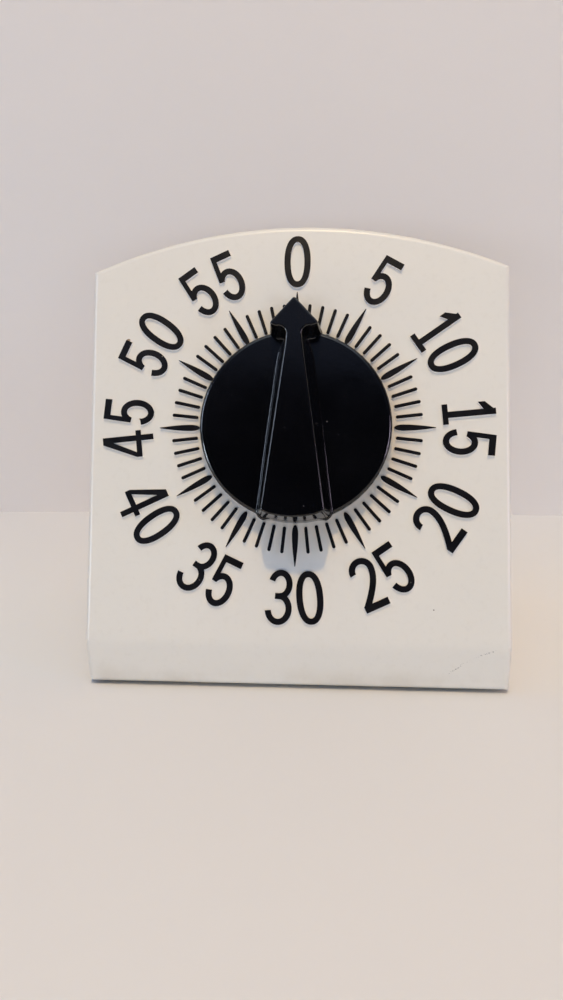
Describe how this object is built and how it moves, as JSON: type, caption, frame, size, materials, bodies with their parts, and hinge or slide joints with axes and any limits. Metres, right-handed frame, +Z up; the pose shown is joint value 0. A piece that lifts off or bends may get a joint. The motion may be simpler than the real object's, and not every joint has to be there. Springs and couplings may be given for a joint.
{
  "type": "lab timer",
  "caption": "Wind-up sixty minute bench timer: leaning wedge housing, large raised dial, long black pointer knob, clockwork and bell inside.",
  "frame": {"origin": "on the table under the middle of the box around the timer", "axes": "+Z up, the dial leans back and looks towards -Y, +X to the right seen from the front"},
  "size_m": [0.1524, 0.0842, 0.1595],
  "materials": {
    "ivory_plastic": "glossy moulded off-white plastic",
    "ivory_cover": "moulded off-white plastic",
    "black_print": "raised marks with black foil tops",
    "knob_black": "glossy black plastic",
    "foot_rubber": "matt black rubber",
    "screw_steel": "zinc plated steel",
    "plate_steel": "stamped and plated steel",
    "gear_brass": "stamped brass",
    "arbor_steel": "turned steel",
    "lever_steel": "stamped steel",
    "spring_steel": "blued spring steel",
    "bell_metal": "plated steel, bright"
  },
  "bodies": {
    "timer_body": {"front_housing": "ivory_plastic", "numerals": "black_print", "minute_marks": "black_print", "five_minute_marks": "black_print", "rear_cover": "ivory_cover", "rear_cover_screws": "screw_steel", "rubber_feet": "foot_rubber", "movement_screws": "screw_steel", "front_plate": "plate_steel", "back_plate": "plate_steel", "pillars": "gear_brass", "pillar_nuts": "gear_brass", "mainspring": "spring_steel", "bell": "bell_metal", "bell_post": "lever_steel", "bell_nut": "lever_steel"},
    "setting_knob": {"knob": "knob_black", "main_arbor": "arbor_steel", "great_wheel": "gear_brass", "alarm_cam": "lever_steel"},
    "second_gear": {"second_wheel": "gear_brass", "second_arbor": "arbor_steel"},
    "third_gear": {"third_wheel": "gear_brass", "third_arbor": "arbor_steel"},
    "escape_gear": {"escape_wheel": "gear_brass", "escape_arbor": "arbor_steel"},
    "balance": {"pallet_lever": "lever_steel", "pallet_arbor": "arbor_steel", "balance_ring": "gear_brass"},
    "striker": {"hammer_arm": "lever_steel", "hammer_tail": "lever_steel", "hammer_arbor": "arbor_steel", "hammer_head": "gear_brass"}
  },
  "joints": [
    {"name": "knob_turn", "type": "hinge", "parent": "timer_body", "child": "setting_knob", "pos_m": [0, -0.0115, 0.09061], "axis": [0, 0.9304, -0.3665], "range_deg": [0, 360]},
    {"name": "second_gear_spin", "type": "hinge", "parent": "timer_body", "child": "second_gear", "pos_m": [0, -0.01942, 0.07051], "axis": [0, 0.9304, -0.3665], "range_deg": [-1800, 0]},
    {"name": "third_gear_spin", "type": "hinge", "parent": "timer_body", "child": "third_gear", "pos_m": [0.0146, -0.02068, 0.0673], "axis": [0, 0.9304, -0.3665], "range_deg": [0, 7200]},
    {"name": "escape_gear_spin", "type": "hinge", "parent": "timer_body", "child": "escape_gear", "pos_m": [0.0206, -0.01687, 0.07697], "axis": [0, 0.9304, -0.3665], "range_deg": [-28800, 0]},
    {"name": "balance_swing", "type": "hinge", "parent": "timer_body", "child": "balance", "pos_m": [0.02419, -0.01326, 0.08615], "axis": [0, 0.9304, -0.3665], "range_deg": [-6, 6]},
    {"name": "striker_swing", "type": "hinge", "parent": "timer_body", "child": "striker", "pos_m": [-0.027, -0.0093, 0.09619], "axis": [0, 0.9304, -0.3665], "range_deg": [-2, 4.7], "stiffness_Nm_per_rad": 0.01}
  ],
  "couplings": [
    {"joint": "second_gear_spin", "follows": "knob_turn", "ratio": -5},
    {"joint": "third_gear_spin", "follows": "knob_turn", "ratio": 20},
    {"joint": "escape_gear_spin", "follows": "knob_turn", "ratio": -80}
  ]
}
